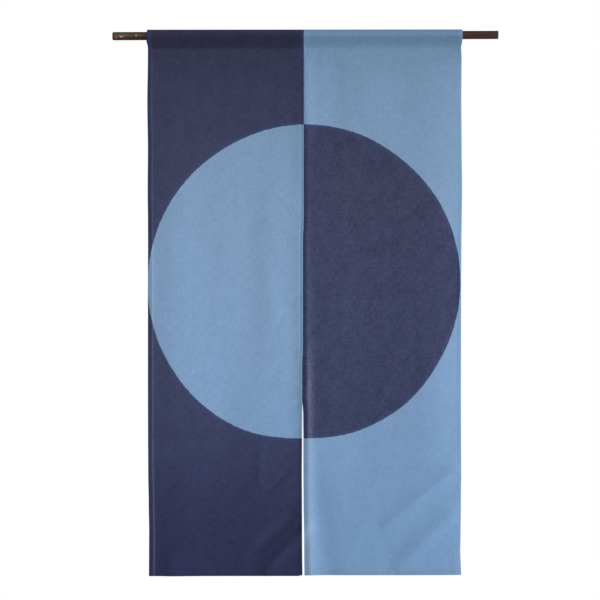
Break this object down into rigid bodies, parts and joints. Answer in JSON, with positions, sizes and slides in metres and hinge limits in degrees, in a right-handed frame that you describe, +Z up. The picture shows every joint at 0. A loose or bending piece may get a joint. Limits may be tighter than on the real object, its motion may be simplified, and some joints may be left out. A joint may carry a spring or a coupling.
{
  "type": "noren curtain with hanging rod",
  "caption": "Split doorway curtain of two dyed cloth panels, seamed together at the top and open below, with a sleeve sewn around a round wooden hanging rod.",
  "frame": {"origin": "on the rod's axis, halfway between its ends", "axes": "+Z up, +X along the rod to the viewer's right, the front of the cloth faces -Y"},
  "size_m": [1.059, 0.0266, 1.5008],
  "materials": {
    "left_cloth": "plain-woven slub cotton, dyed navy with a pale blue half disc",
    "right_cloth": "plain-woven slub cotton, dyed pale blue with a navy half disc",
    "rod_wood": "dark stained round wood, unevenly coloured at one end"
  },
  "bodies": {
    "root": {"rod": "rod_wood", "panel_left": "left_cloth", "panel_right": "right_cloth"}
  },
  "joints": []
}
